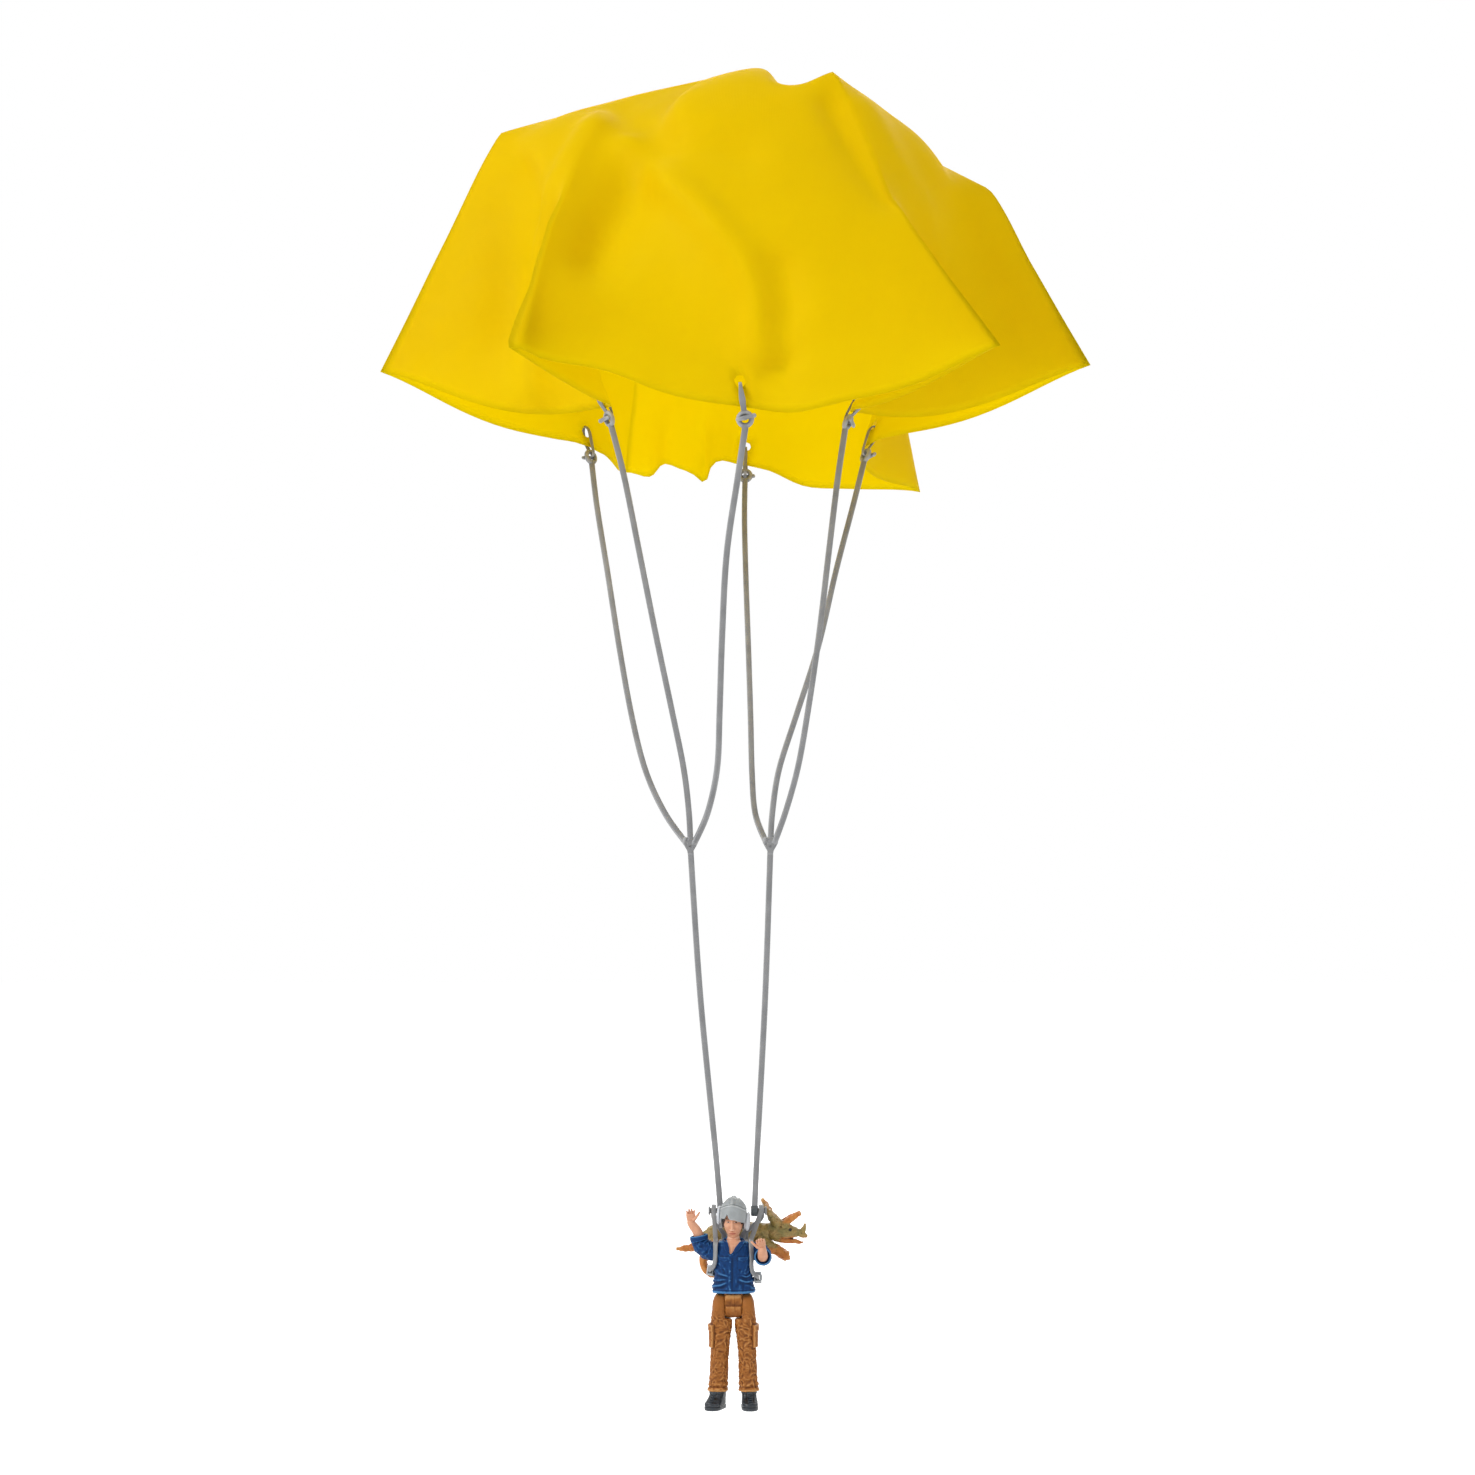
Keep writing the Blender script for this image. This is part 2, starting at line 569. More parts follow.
def make_branch(name, side, fold_number, place, out_shares, depth_shares):
    hole, across, down, out = hem_frame(fold_number)
    if across.x < 0 and abs(out.y) > abs(out.x):
        across = -across
    eyelet_down = HEM_MARGIN + GAP + EYELET_WIRE * 2 + EYELET_RADIUS

    def local(s, d, n):
        return hole + across * s + down * d + out * n

    eye = local(0, eyelet_down, 0)
    bpy.ops.mesh.primitive_torus_add(
        major_radius=EYELET_RADIUS, minor_radius=EYELET_WIRE, major_segments=12, minor_segments=6,
        location=eye, rotation=out.to_track_quat("Z", "Y").to_euler(),
    )
    ring = bpy.context.object
    ring.data.transform(ring.matrix_world)
    ring.matrix_world = Matrix.Identity(4)
    top = eyelet_down - EYELET_RADIUS
    inner = TAIL_BULGE + TAIL_DEPTH * 0.3
    turn = HOLE_RADIUS * 0.35
    tail_points = [
        (top, 0), (HEM_MARGIN - turn, TAIL_BULGE * 0.6), (HEM_MARGIN * 0.55, TAIL_BULGE * 1.05),
        (HEM_MARGIN * 0.15, TAIL_BULGE * 0.85), (-turn, TAIL_BULGE * 0.30), (-turn, -TAIL_BULGE * 0.45),
        (HEM_MARGIN * 0.18, -inner), (HEM_MARGIN * 0.6, -inner * 1.1), (top, -inner * 1.1),
        (eyelet_down - TAIL_DEPTH, -inner * 0.8), (eyelet_down, -inner * 0.3), (eyelet_down, inner * 0.5),
        (eyelet_down - TAIL_DEPTH * 0.5, inner * 0.95),
    ]
    tail_path = smooth_path([local(0, d, n) for d, n in tail_points], 22)
    tail = ribbon("tail", tail_path, across, TAIL_WIDTH, TAIL_DEPTH, GREY_RUBBER)
    tab_level = eyelet_down - TAIL_DEPTH * 0.6
    tab_path = [local(TAB_LENGTH * s, tab_level - TAB_LENGTH * 0.10 * s, inner) for s in
                (-0.42, -0.30, 0.0, 0.30, 0.50, 0.56)]
    tab_radii = [TAB_RADIUS * r for r in (0.15, 0.6, 1.0, 0.95, 0.85, 0.35)]
    tab = limb("tab", tab_path, tab_radii, out, GREY_RUBBER, 8, 1.15)

    block = block_place(side)
    foot = block + Vector((place * (STRAP_WIDTH + GAP), 0, GAP))
    start = local(0, eyelet_down + EYELET_RADIUS, 0)
    route = [start]
    for drop, across_share, depth in zip(ROUTE_DROP_SHARES[1:], out_shares[1:], depth_shares[1:]):
        route.append(Vector((
            foot.x + (start.x - foot.x) * across_share,
            foot.y + (start.y - foot.y) * depth,
            start.z + (foot.z - start.z) * drop,
        )))
    # The last of it stands upright on the block
    path = smooth_path(route[:-1] + [foot + Vector((0, 0, STRAP_WIDTH))], 21)
    path += [foot + Vector((0, 0, STRAP_WIDTH / 2)), foot]
    strap = ribbon("branch_strap_" + name, path, Vector((1, 0, 0)), STRAP_WIDTH, STRAP_DEPTH, GREY_RUBBER)
    fuse(strap, [ring, tail, tab])


def make_trunk(side):
    sign = -1 if side == "left" else 1
    block = block_place(side)
    foot = Vector((HANG_X + sign * TRUNK_HALF_SPACING, HANG_Y, HINGE_Z))
    half = STRAP_WIDTH * 1.5 + GAP
    x_axis = Vector((1, 0, 0))
    y_axis = Vector((0, 1, 0))
    levels = ((0, 1.0, 1.0), (0.3, 1.0, 1.15), (0.62, 0.72, 1.15), (1, 0.33, 1.0))
    rings = []
    for drop, wide, deep in levels:
        centre = block - Vector((0, 0, BLOCK_HEIGHT * drop))
        a, b = x_axis * half * wide, y_axis * STRAP_DEPTH / 2 * deep
        rings.append([centre + a + b, centre - a + b, centre - a - b, centre + a - b])
    head = loft("head", rings, GREY_RUBBER)
    start = block - Vector((0, 0, BLOCK_HEIGHT * 0.7))
    route = []
    for drop, out_share in zip(TRUNK_DROP_SHARES, TRUNK_OUT_SHARES):
        route.append(Vector((
            start.x + (foot.x - start.x) * out_share,
            start.y + (foot.y - start.y) * drop,
            start.z + (foot.z - start.z) * drop,
        )))
    path = smooth_path(route, 14)
    trunk = ribbon("trunk_strap_" + side, path, x_axis, STRAP_WIDTH, STRAP_DEPTH, GREY_RUBBER)
    outward = x_axis * sign
    boss = cylinder("boss", BOSS_RADIUS, foot - x_axis * STRAP_WIDTH / 2, foot + x_axis * STRAP_WIDTH / 2,
                    GREY_RUBBER)
    peg_end = foot + outward * (STRAP_WIDTH / 2 + GAP * 4 + WEB_WIDTH)
    peg = cylinder("peg", PEG_RADIUS, foot, peg_end + outward * FLANGE_DEPTH / 2, GREY_RUBBER, 12)
    flange = cylinder("flange", BOSS_RADIUS, peg_end, peg_end + outward * FLANGE_DEPTH, GREY_RUBBER)
    fuse(trunk, [head, boss, peg, flange])
    for face in (-1, 1):
        for wing in (-1, 1):
            recess_foot = block + Vector((wing * half * 0.42, face * STRAP_DEPTH * 0.75, 0))
            recess = cylinder(
                "recess_%s_%d_%d" % (side, face, wing), STRAP_WIDTH * 0.36,
                recess_foot - Vector((0, STRAP_DEPTH * 0.30, BLOCK_HEIGHT * 0.30)),
                recess_foot + Vector((0, STRAP_DEPTH * 0.30, -BLOCK_HEIGHT * 0.30)), None, 3, CUTTERS,
            )
            cut(trunk, recess)


def figure_point(x, y, z):
    # x from the figure's middle plane
    return Vector((FIGURE_X + x, y, z))


def torso_size(z):
    # Half width and half depth of the torso at a height
    share = (TORSO_TOP - z) / TORSO_HEIGHT
    rows = TORSO_SHARES
    for low, high in zip(rows, rows[1:]):
        if share <= high[0] or high is rows[-1]:
            t = min(max((share - low[0]) / (high[0] - low[0]), 0), 1)
            return (
                TORSO_HALF_WIDTH * (low[1] + (high[1] - low[1]) * t),
                TORSO_HALF_DEPTH * (low[2] + (high[2] - low[2]) * t),
            )


TORSO_POWER = 2.5


def torso_skin(z, turn, lift):
    # A point off the torso's skin, turn in degrees from the front towards +X, and the way out there
    half_width, half_depth = torso_size(z)
    s, c = math.sin(math.radians(turn)), math.cos(math.radians(turn))
    x = math.copysign(abs(s) ** (2 / TORSO_POWER), s) * half_width
    y = -math.copysign(abs(c) ** (2 / TORSO_POWER), c) * half_depth
    out = Vector((
        math.copysign(abs(x / half_width) ** (TORSO_POWER - 1), x) / half_width,
        math.copysign(abs(y / half_depth) ** (TORSO_POWER - 1), y) / half_depth,
        0,
    )).normalized()
    return figure_point(x, y, z) + out * lift, out


def skin_strip(name, rows, sign, width):
    # A strip of cloth that lies half sunk in the torso's skin
    points, ways = [], []
    for share, turn in rows:
        point, out = torso_skin(TORSO_TOP - TORSO_HEIGHT * share, sign * turn, SEAM_DEPTH * 0.1)
        points.append(point)
        ways.append(out)
    ways = [out.cross(points[min(k + 1, len(points) - 1)] - points[max(k - 1, 0)]) for k, out in enumerate(ways)]
    return ribbon(name, points, [way.normalized() for way in ways], width, SEAM_DEPTH, BLUE_SHIRT)


def make_torso():
    rings = []
    for share, wide, deep in TORSO_SHARES:
        centre = figure_point(0, 0, TORSO_TOP - TORSO_HEIGHT * share)
        rings.append(oval(centre, Vector((1, 0, 0)), Vector((0, 1, 0)), TORSO_HALF_WIDTH * wide,
                          TORSO_HALF_DEPTH * deep, 24, TORSO_POWER))
    torso = loft("torso", rings, BLUE_SHIRT)
    seams = [skin_strip("placket", PLACKET_ROUTE, 1, PLACKET_WIDTH)]
    seams += [skin_strip("collar", COLLAR_ROUTE, sign, COLLAR_WIDTH) for sign in (-1, 1)]
    fuse(torso, seams)
    bore = SHOULDER_PEG_RADIUS + SOCKET_CLEARANCE
    for side, sign in (("left", -1), ("right", 1)):
        outer = figure_point(sign * (TORSO_HALF_WIDTH + OVERRUN), SHOULDER_Y, SHOULDER_Z)
        depth = SHOULDER_PEG_LENGTH + SOCKET_CLEARANCE
        inner = figure_point(sign * (TORSO_HALF_WIDTH - depth), SHOULDER_Y, SHOULDER_Z)
        cut(torso, cylinder("shoulder_socket_" + side, bore, inner, outer, None, 12, CUTTERS))
    bore = NECK_PEG_RADIUS + SOCKET_CLEARANCE
    top = figure_point(0, 0, TORSO_TOP + OVERRUN)
    bottom = figure_point(0, 0, TORSO_TOP - NECK_PEG_LENGTH - SOCKET_CLEARANCE)
    cut(torso, cylinder("neck_socket", bore, bottom, top, None, 12, CUTTERS))


def make_pelvis():
    # Rounded about the hip axle, so that the thighs pass it
    radius = HIP_RADIUS - HIP_CLEARANCE / 2
    half = Vector((CROTCH_HALF_WIDTH, 0, 0))
    axle = figure_point(0, 0, HIP_Z)
    pelvis = cylinder("pelvis", radius, axle - half, axle + half, BROWN_TROUSERS, 24)
    reach = radius * 0.86
    top = TORSO_BOTTOM - GAP
    block = box("block", axle - half + Vector((0, -reach, 0)),
                Vector((axle.x + CROTCH_HALF_WIDTH, reach, top)), BROWN_TROUSERS)
    fuse(pelvis, [block])
    overrun = Vector((OVERRUN, 0, 0))
    cut(pelvis, cylinder("axle_bore", AXLE_RADIUS + SOCKET_CLEARANCE, axle - half - overrun,
                         axle + half + overrun, None, 12, CUTTERS))
    end = half + Vector((GAP + AXLE_SEAT, 0, 0))
    cylinder("hip_axle", AXLE_RADIUS, axle - end, axle + end, STEEL, 12)


def make_leg(side):
    sign = -1 if side == "left" else 1
    inner = CROTCH_HALF_WIDTH + GAP
    top_half = LEG_HALF_WIDTH * 0.70
    centre = inner + top_half
    x_axis, y_axis, z_axis = Vector((1, 0, 0)), Vector((0, 1, 0)), Vector((0, 0, 1))
    rings = []
    for share, centre_share, wide, deep in LEG_SHARES:
        middle = figure_point(sign * centre * centre_share, 0, HIP_Z - LEG_LENGTH * share)
        half = min(LEG_HALF_WIDTH * wide, centre * centre_share - LEG_INSET)
        rings.append(oval(middle, x_axis, y_axis, half, LEG_HALF_WIDTH * deep, 16, 2.6))
    leg = loft("leg_" + side, rings, BROWN_TROUSERS)
    # The top is a disc about the axle, flat on the inside and rounded on the outside
    rings = []
    for out, size in HIP_DISC_SHARES:
        middle = figure_point(sign * (inner + top_half * 2 * out), 0, HIP_Z)
        rings.append(oval(middle, y_axis, z_axis, HIP_RADIUS * size, HIP_RADIUS * size, 24))
    hip = loft("hip", rings, BROWN_TROUSERS)
    fuse(leg, [hip])
    level = HIP_Z - LEG_LENGTH * 0.325
    outer = centre * 0.82 + LEG_HALF_WIDTH * 1.08
    low = figure_point(sign * outer - POCKET_DEPTH * 1.5, -LEG_HALF_WIDTH * 0.62, level - LEG_LENGTH * 0.112)
    high = figure_point(sign * outer + POCKET_DEPTH * 1.5, LEG_HALF_WIDTH * 0.62, level + LEG_LENGTH * 0.112)
    pocket = box("pocket", low, high, BROWN_TROUSERS, POCKET_DEPTH * 0.35)
    fuse(leg, [pocket])
    bore_start = figure_point(sign * (CROTCH_HALF_WIDTH - OVERRUN), 0, HIP_Z)
    bore_end = figure_point(sign * (inner + AXLE_SEAT + SOCKET_CLEARANCE), 0, HIP_Z)
    cut(leg, cylinder("axle_seat_" + side, AXLE_RADIUS + SOCKET_CLEARANCE, bore_start, bore_end, None, 12,
                      CUTTERS))
    make_boot(side, sign * centre * LEG_SHARES[-1][1])


def make_boot(side, x):
    sign = -1 if side == "left" else 1
    turn = Matrix.Rotation(sign * math.pi / 2 * BOOT_TURN_SHARES[side], 3, "Z")
    across, deep = turn @ Vector((1, 0, 0)), turn @ Vector((0, 1, 0))
    rings = []
    for share, wide, long, shift in BOOT_SHARES:
        centre = figure_point(x, 0, SOLE_Z + BOOT_HEIGHT * share)
        centre = centre + deep * BOOT_HALF_LENGTH * (shift - 0.36)
        rings.append(oval(centre, across, deep, BOOT_HALF_WIDTH * wide, BOOT_HALF_LENGTH * long, 18, 2.3))
    loft("boot_" + side, rings, BLACK_BOOT)


def make_arm(side):
    sign = -1 if side == "left" else 1
    start = figure_point(sign * (TORSO_HALF_WIDTH * TORSO_SHARES[4][1] + GAP), SHOULDER_Y, SHOULDER_Z)
    path, radii = [], []
    for out, forward, up, radius in ARM_SHARES[side]:
        path.append(start + Vector((sign * out, -forward, up)) * SLEEVE_RADIUS)
        radii.append(radius * SLEEVE_RADIUS)
    # The frame turns with the arm, from the shoulder's front round to the forearm's side
    y_axis, z_axis = Vector((0, 1, 0)), Vector((0, 0, 1))
    hints = [y_axis] * len(path)
    if side == "right":
        hints = [Vector((0.45 * k, 1, 0.35 * k)) for k in range(len(path))]
    turned = frames(path, hints)
    for k in (0, 1):
        turned[k] = (y_axis, Vector((sign, 0, 0)).cross(y_axis))
    rings = [oval(point, across, deep, radius, radius, 14)
             for point, radius, (across, deep) in zip(path, radii, turned)]
    sleeve = loft("sleeve_" + side, rings[:CUFF_ROW + 1], BLUE_SHIRT)
    peg = cylinder("peg", SHOULDER_PEG_RADIUS, start + Vector((sign * SLEEVE_RADIUS / 2, 0, 0)),
                   start - Vector((sign * SHOULDER_PEG_LENGTH, 0, 0)), BLUE_SHIRT, 12)
    fuse(sleeve, [peg])

    across, deep = turned[CUFF_ROW]
    ahead = (path[CUFF_ROW + 1] - path[CUFF_ROW - 1]).normalized()
    radius = radii[CUFF_ROW + 1]
    start = [oval(path[CUFF_ROW] + ahead * off, across, deep, radius, radius, 14) for off in (GAP, GAP + radius / 3)]
    forearm = loft("forearm_" + side, start + rings[CUFF_ROW + 1:], SKIN)
    wrist = path[-1]
    aim = Vector(HAND_AIM[side])
    aim = Vector((aim.x * sign, -aim.y, aim.z)).normalized()
    across = Vector((1, 0, 0))
    rows = ((-0.12, 0.52, 0.42), (0.12, 0.80, 0.46), (0.42, 1.0, 0.48), (0.62, 0.96, 0.40), (0.85, 0.78, 0.32),
            (1.0, 0.45, 0.22))
    side_way = (across - aim * across.dot(aim)).normalized()
    rings = [oval(wrist + aim * HAND_LENGTH * t, side_way, aim.cross(side_way), HAND_HALF_WIDTH * wide,
                  HAND_HALF_WIDTH * deep, 10, 2.4) for t, wide, deep in rows]
    hand = loft("hand", rings, SKIN)
    thumb_way = side_way * (1 if side == "left" else -1)
    thumb_path = [wrist + aim * HAND_LENGTH * t + thumb_way * HAND_HALF_WIDTH * s for t, s in
                  ((0.15, 0.3), (0.32, 1.1), (0.5, 1.75), (0.58, 1.95))]
    thumb = limb("thumb", thumb_path, [HAND_HALF_WIDTH * r for r in (0.40, 0.40, 0.30, 0.14)],
                 Vector((0, 1, 0)), SKIN, 8)
    fuse(forearm, [hand, thumb])


def make_head():
    bm = bmesh.new()
    bmesh.ops.create_uvsphere(bm, u_segments=20, v_segments=14, radius=1)
    for v in bm.verts:
        x, y, z = v.co
        jaw = max(0, -z)
        # The jaw narrows, the chin comes forward and the face is a little flat
        narrow = 1 - 0.26 * jaw**2.2
        forward = -0.16 * jaw if y < 0 else 0.30 * jaw * y
        flat = 1 - 0.10 * max(0, -y) * (1 - abs(x))
        v.co = figure_point(
            x * narrow * HEAD_HALF_WIDTH,
            (y * flat * (1 - 0.25 * jaw**2) + forward) * HEAD_HALF_DEPTH,
            HEAD_MIDDLE + z * HEAD_HEIGHT / 2,
        )
    head = from_bmesh("head", bm, SKIN)
    front = -HEAD_HALF_DEPTH
    nose = []
    # A plain straight nose between the eye line and the upper lip
    for level, stand, half in ((0.06, 0.86, 0.05), (-0.08, 1.0, 0.09), (-0.24, 1.13, 0.15), (-0.30, 1.0, 0.17)):
        centre = figure_point(0, front * stand * 0.92, HEAD_MIDDLE + level * HEAD_HEIGHT)
        nose.append(oval(centre, Vector((1, 0, 0)), Vector((0, 1, 0)), HEAD_HALF_WIDTH * half,
                         HEAD_HALF_DEPTH * 0.16, 8))
    nose = loft("nose", nose, SKIN)
    neck = cylinder("neck", NECK_RADIUS, figure_point(0, 0, TORSO_TOP + GAP),
                    figure_point(0, 0, HEAD_MIDDLE - HEAD_HEIGHT * 0.15), SKIN)
    peg = cylinder("peg", NECK_PEG_RADIUS, figure_point(0, 0, TORSO_TOP - NECK_PEG_LENGTH),
                   figure_point(0, 0, HEAD_MIDDLE - HEAD_HEIGHT * 0.15), SKIN, 12)
    fuse(head, [nose, neck, peg])


def helmet_rings(half_width, half_depth, bottom, top, sides):
    rings = []
    for share, size in HELMET_SHARES:
        centre = figure_point(0, 0, bottom + (top - bottom) * share)
        rings.append(oval(centre, Vector((1, 0, 0)), Vector((0, 1, 0)), half_width * size, half_depth * size,
                          sides))
    return rings


def make_peak(half_width, half_depth, brow):
    # A short peak stands off the brow, and ends before the ear cups
    rings = [oval(figure_point(0, 0, brow + PEAK_WALL * k), Vector((1, 0, 0)), Vector((0, 1, 0)),
                  half_width + PEAK_REACH * (0.7 - 0.5 * k), half_depth + PEAK_REACH * (1 - 0.6 * k), 24)
             for k in (0, 1)]
    peak = loft("peak", rings, GREY_SHELL)
    reach = half_width + PEAK_REACH + OVERRUN
    cut(peak, box("peak_back", figure_point(-reach, -half_depth * 0.45, brow - OVERRUN),
                  figure_point(reach, half_depth * 2, brow + PEAK_WALL + OVERRUN), None, 0.0, CUTTERS))
    return peak


def make_ridge(half_depth, bottom, top):
    # The crest over the crown, from the brow to the nape
    def spot(row, sign):
        return figure_point(0, sign * half_depth * row[1], bottom + (top - bottom) * row[0])

    crown = [row for row in HELMET_SHARES if row[0] >= 0.55]
    points = [spot(row, -1) for row in crown] + [spot(row, 1) for row in reversed(crown)]
    path = smooth_path(points + [spot(HELMET_SHARES[1], 1)], 17)
    return ribbon("ridge", path, Vector((1, 0, 0)), RIDGE_WIDTH, RIDGE_DEPTH, GREY_SHELL)


def make_helmet():
    head_top = CHIN_Z + HEAD_HEIGHT
    inner_top = head_top + HELMET_CLEARANCE
    rim = inner_top - HELMET_SKIRT
    wide, deep = HEAD_HALF_WIDTH + HELMET_CLEARANCE, HEAD_HALF_DEPTH + HELMET_CLEARANCE
    shell = helmet_rings(wide + HELMET_WALL, deep + HELMET_WALL, rim, inner_top + HELMET_CROWN, 24)
    helmet = loft("helmet", shell, GREY_SHELL)
    brow = rim + HELMET_SKIRT * 0.46
    fuse(helmet, [make_peak(wide + HELMET_WALL, deep + HELMET_WALL, brow),
                  make_ridge(deep + HELMET_WALL, rim, inner_top + HELMET_CROWN)])
    # The inside is wide enough for the head to pass as the helmet is lifted off
    hollow = []
    for share, size in ((-0.10, 1.0), (0.50, 1.0), (0.70, 0.94), (0.84, 0.80), (0.93, 0.62), (1.0, 0.36)):
        centre = figure_point(0, 0, rim + HELMET_SKIRT * share)
        hollow.append(oval(centre, Vector((1, 0, 0)), Vector((0, 1, 0)), wide * size, deep * size, 20))
    cut(helmet, loft("helmet_hollow", hollow, None, CUTTERS))
    # The face opening: high at the brow, falling to the ear cups
    reach = wide + HELMET_WALL + OVERRUN
    front = -(deep + HELMET_WALL + OVERRUN)
    outline = ((front, brow), (front * 0.60, brow), (front * 0.30, brow - HELMET_SKIRT * 0.12),
               (-0.06 * deep, rim - OVERRUN), (front, rim - OVERRUN))
    rings = [[figure_point(x, y, z) for y, z in outline] for x in (-reach, reach)]
    cut(helmet, loft("face_opening", rings, None, CUTTERS))
    make_ear_cups(wide + HELMET_WALL, rim + HELMET_SKIRT * 0.36)


def make_ear_cups(half_width, level):
    for side, sign in (("left", -1), ("right", 1)):
        rings = []
        for out, size in ((0, 0.78), (0.12, 0.94), (0.55, 1.0), (0.82, 0.88), (1.0, 0.55)):
            centre = figure_point(sign * (half_width + GAP + EAR_CUP_DEPTH * out), HEAD_HALF_DEPTH * 0.10, level)
            rings.append(oval(centre, Vector((0, 1, 0)), Vector((0, 0, 1)), EAR_CUP_RADIUS * 0.78 * size,
                              EAR_CUP_RADIUS * size, 16, 2.4))
        loft("ear_cup_" + side, rings, PALE_SHELL)


def make_backpack():
    top = TORSO_TOP - PACK_DROP
    low = figure_point(-PACK_HALF_WIDTH, PACK_FRONT, top - PACK_HEIGHT)
    high = figure_point(PACK_HALF_WIDTH, PACK_BACK, top)
    pack = box("backpack", low, high, GREY_RUBBER, PACK_ROUND)
    for k in range(5):
        level = top - PACK_HEIGHT * (0.22 + 0.14 * k)
        groove = box("pack_groove_%d" % k,
                     figure_point(-PACK_HALF_WIDTH * 0.72, PACK_BACK - RIB_DEPTH, level - RIB_DEPTH),
                     figure_point(PACK_HALF_WIDTH * 0.72, PACK_BACK + OVERRUN, level + RIB_DEPTH), None, 0.0,
                     CUTTERS)
        cut(pack, groove)


def make_shoulder_strap(side):
    sign = -1 if side == "left" else 1
    loop = Vector((HANG_X + sign * LOOP_HALF_SPACING, HANG_Y, HINGE_Z))
    radius = PEG_RADIUS + GAP * 2 + WEB_DEPTH / 2
    x_axis = Vector((1, 0, 0))
    route, across = [], []

    def add(point, way):
        route.append(point)
        across.append(way)

    pack_top = TORSO_TOP - PACK_DROP
    pack_y = (PACK_FRONT + PACK_BACK) / 2
    foot = figure_point(sign * (PACK_HALF_WIDTH - PACK_ROUND - WEB_WIDTH / 2), pack_y, pack_top + GAP)
    fall = loop.z - pack_top
    add(foot, x_axis)
    add(foot + Vector((0, 0, WEB_WIDTH)), x_axis)
    add(foot.lerp(loop, 0.35), x_axis)
    add(loop + Vector((0, radius * 0.95, -fall * 0.28)), x_axis)
    for turn in (0, 30, 60, 90, 120, 150, 180):
        a = math.radians(turn)
        add(loop + Vector((0, math.cos(a), math.sin(a))) * radius, x_axis)
    # Straight down past the ear cup, then forward over the shoulder
    shoulder = figure_point(sign * SHOULDER_STRAP_X, 0, TORSO_TOP)
    for down, drop, along in ((0.36, 0.70, 0.55), (0.68, 0.95, 0.36)):
        point = loop.lerp(shoulder, down)
        add(Vector((point.x, HANG_Y * along, point.z)), x_axis)
    add(shoulder + Vector((0, TORSO_HALF_DEPTH * 0.10, WEB_DEPTH * 0.30)), x_axis)
    add(shoulder + Vector((0, -TORSO_HALF_DEPTH * 0.64, -WEB_DEPTH * 0.80)), x_axis)
    lift = WEB_CLEARANCE + WEB_DEPTH / 2
    buckle_lift = WEB_CLEARANCE + BUCKLE_WALL + GAP * 3 + WEB_DEPTH / 2
    for share, turn, lifts in STRAP_SKIN_SHARES[side]:
        off = buckle_lift if lifts is None else lift * lifts
        point, out = torso_skin(TORSO_TOP - TORSO_HEIGHT * share, sign * turn, off)
        add(point, out)
    end = figure_point(sign * (PACK_HALF_WIDTH + GAP), PACK_FRONT + PACK_DEPTH * 0.45,
                       TORSO_TOP - TORSO_HEIGHT * STRAP_END_SHARES[side])
    add(end + Vector((sign * WEB_DEPTH, 0, 0)), Vector((0, 1, 0)))
    add(end, Vector((0, 1, 0)))
    # On the torso the way across lies flat on the skin
    for k in range(len(route) - len(STRAP_SKIN_SHARES[side]) - 2, len(route)):
        ahead = route[min(k + 1, len(route) - 1)] - route[k - 1]
        way = across[k].cross(ahead).normalized()
        across[k] = way if way.dot(across[k - 1]) > 0 else -way
    fine = 12
    last = len(route) - 1
    dense = [curve_point(route, k, i / fine) for k in range(last) for i in range(fine)] + [route[-1]]
    ways = [across[k].lerp(across[k + 1], i / fine) for k in range(last) for i in range(fine)] + [across[-1]]
    count = 50
    path, ways = even_path(dense, dense, count), even_path(dense, ways, count)
    ribbon("shoulder_strap_" + side, path, ways, WEB_WIDTH, WEB_DEPTH, GREY_RUBBER)
    place = min(range(count), key=lambda k: (path[k] - route[BUCKLE_POINT]).length)
    make_buckle(side, path[place], (path[place + 1] - path[place - 1]).normalized(), ways[place])


def make_buckle(side, middle, way, across):
    tall = (across - way * across.dot(way)).normalized()
    out = way.cross(tall)
    half_length = way * BUCKLE_LENGTH / 2
    inner_a, inner_b = WEB_WIDTH / 2 + GAP * 2, WEB_DEPTH / 2 + GAP * 2
    outer_a, outer_b = inner_a + BUCKLE_WALL, inner_b + BUCKLE_WALL * 0.8

    def sleeve(name, a, b, stretch, material, collection=None):
        rings = []
        for end in (-1, 1):
            centre = middle + half_length * end * stretch
            rings.append([centre + tall * a * s + out * b * t for s, t in ((1, 1), (-1, 1), (-1, -1), (1, -1))])
        return loft(name, rings, material, collection)

    buckle = sleeve("buckle_" + side, outer_a, outer_b, 1, GREY_SHELL)
    cut(buckle, sleeve("buckle_slot_" + side, inner_a, inner_b, 1.5, None, CUTTERS))


def dino_point(along, up, across=0.0):
    return figure_point(along * DINO_GIRTH, DINO_Y + across * DINO_GIRTH, DINO_Z + up * DINO_GIRTH)


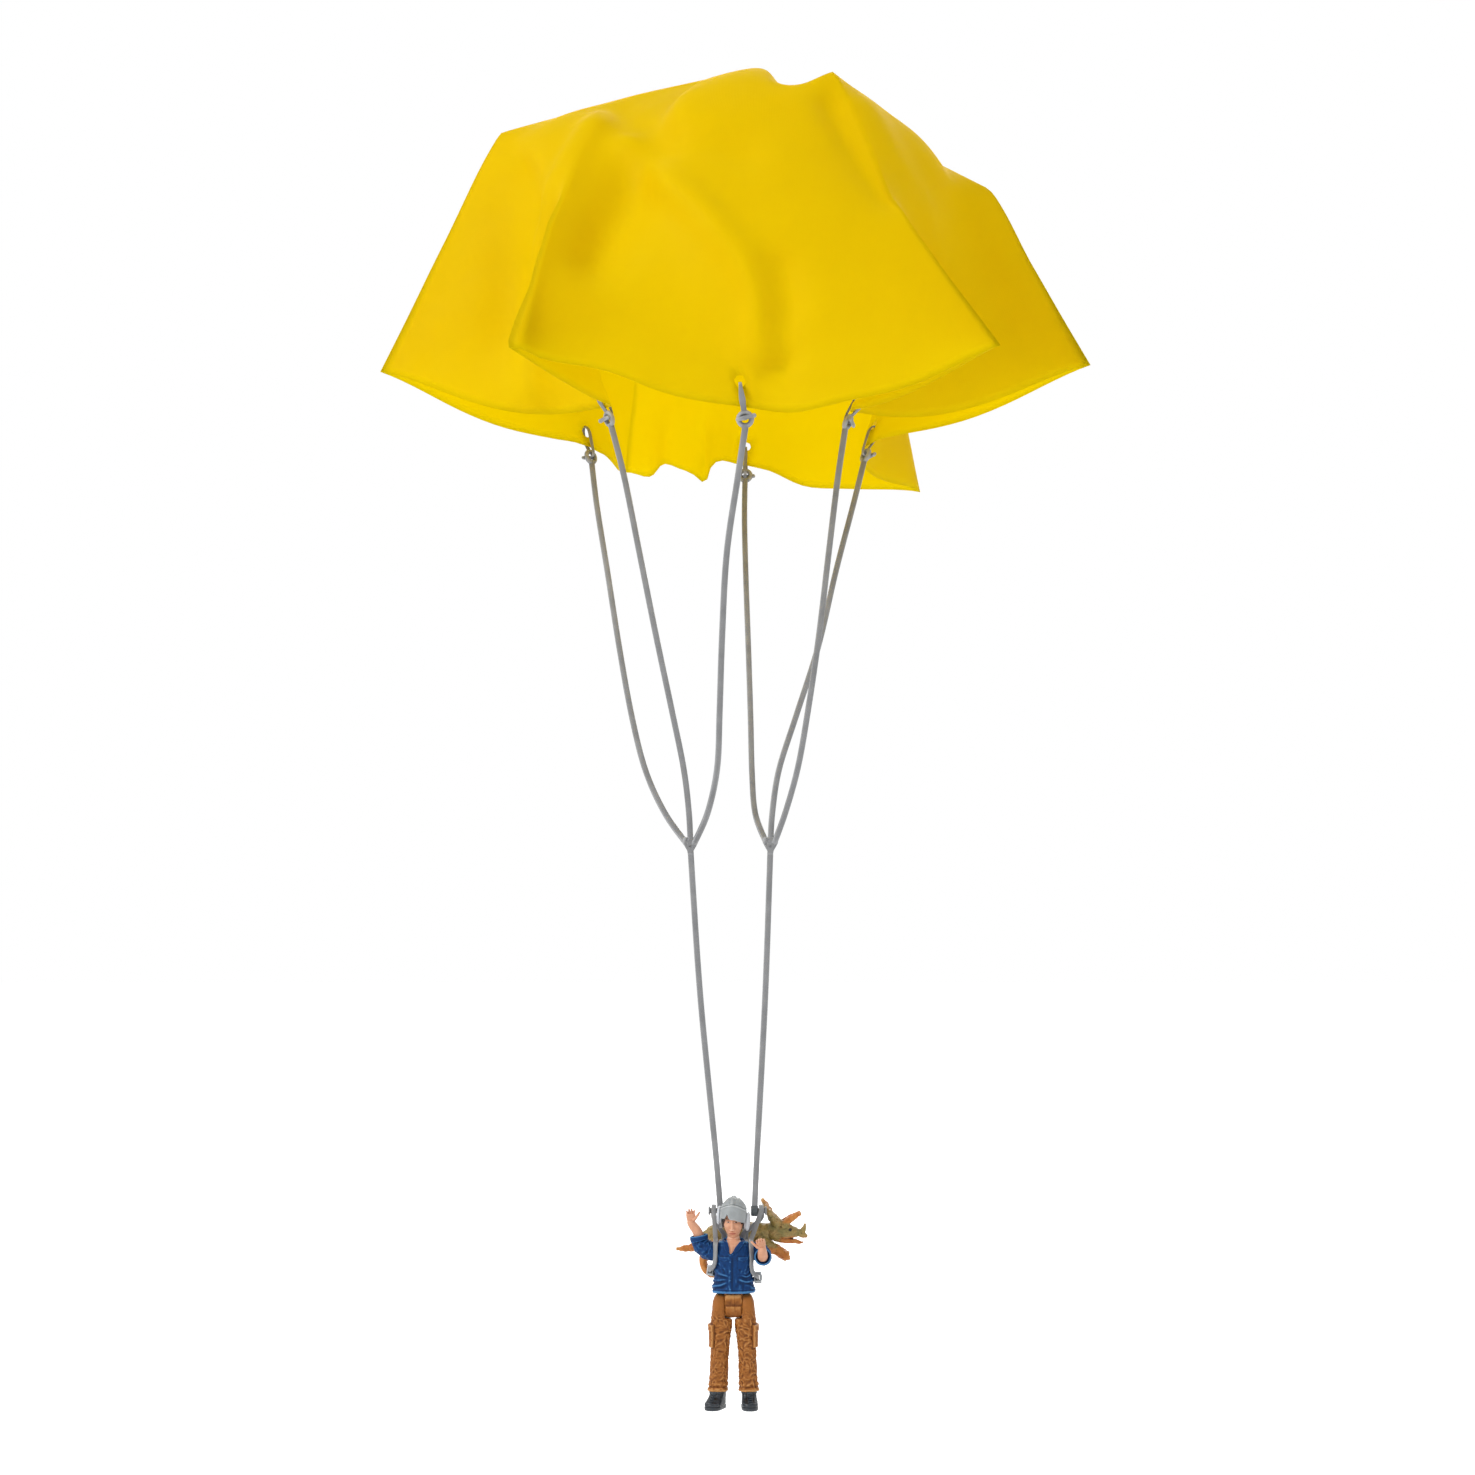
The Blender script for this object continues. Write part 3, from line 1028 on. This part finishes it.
def make_dinosaur():
    y_axis = Vector((0, 1, 0))

    def tube(name, rows, across=0.0, spread=0.0, sides=10, flat=1.0):
        path = [dino_point(row[0], row[1], across + spread * k / (len(rows) - 1)) for k, row in enumerate(rows)]
        return limb(name, path, [row[2] * DINO_GIRTH for row in rows], y_axis, DINOSAUR_HIDE, sides, flat)

    body = tube("dinosaur", SPINE_SHARES, sides=14, flat=1.06)
    pieces = [tube("skull", HEAD_SHARES, sides=12), tube("jaw", JAW_SHARES), tube("nose_horn", NOSE_HORN_SHARES)]
    rings = []
    for along, up, wide, thick in FRILL_SHARES:
        rings.append(oval(dino_point(along, up), y_axis, Vector((0.85, 0, 0.53)), wide * DINO_GIRTH,
                          thick * DINO_GIRTH, 14, 2.6))
    pieces.append(loft("frill", rings, DINOSAUR_HIDE))
    for sign in (-1, 1):
        pieces.append(tube("brow_horn", BROW_HORN_SHARES, sign * BROW_SPREAD_SHARE, 0.0, 8))
        pieces.append(tube("fore_leg", FORE_LEG_SHARES, sign * LEG_SPREAD_SHARE * 0.9, sign * 0.1, 10))
        pieces.append(tube("hind_leg", HIND_LEG_SHARES, sign * LEG_SPREAD_SHARE, sign * 0.1, 10))
    fuse(body, pieces)


def make_bands():
    x_axis = Vector((1, 0, 0))
    for name, place in zip(("rear", "front"), BAND_PLACE_SHARES):
        centre = dino_point(place, 0.0)
        inner = DINO_GIRTH * 1.06 + BAND_CLEARANCE + GAP
        half = x_axis * BAND_WIDTH / 2
        band = cylinder("carrier_band_" + name, inner + BAND_WALL, centre - half, centre + half, GREY_RUBBER, 28)
        over = half + x_axis * OVERRUN
        cut(band, cylinder("band_bore_" + name, inner, centre - over, centre + over, None, 28, CUTTERS))


make_canopy()
for branch in BRANCHES:
    make_branch(*branch)
for trunk_side in ("left", "right"):
    make_trunk(trunk_side)
make_backpack()
for strap_side in ("left", "right"):
    make_shoulder_strap(strap_side)
make_torso()
make_pelvis()
make_head()
make_helmet()
for body_side in ("left", "right"):
    make_arm(body_side)
    make_leg(body_side)
make_dinosaur()
make_bands()
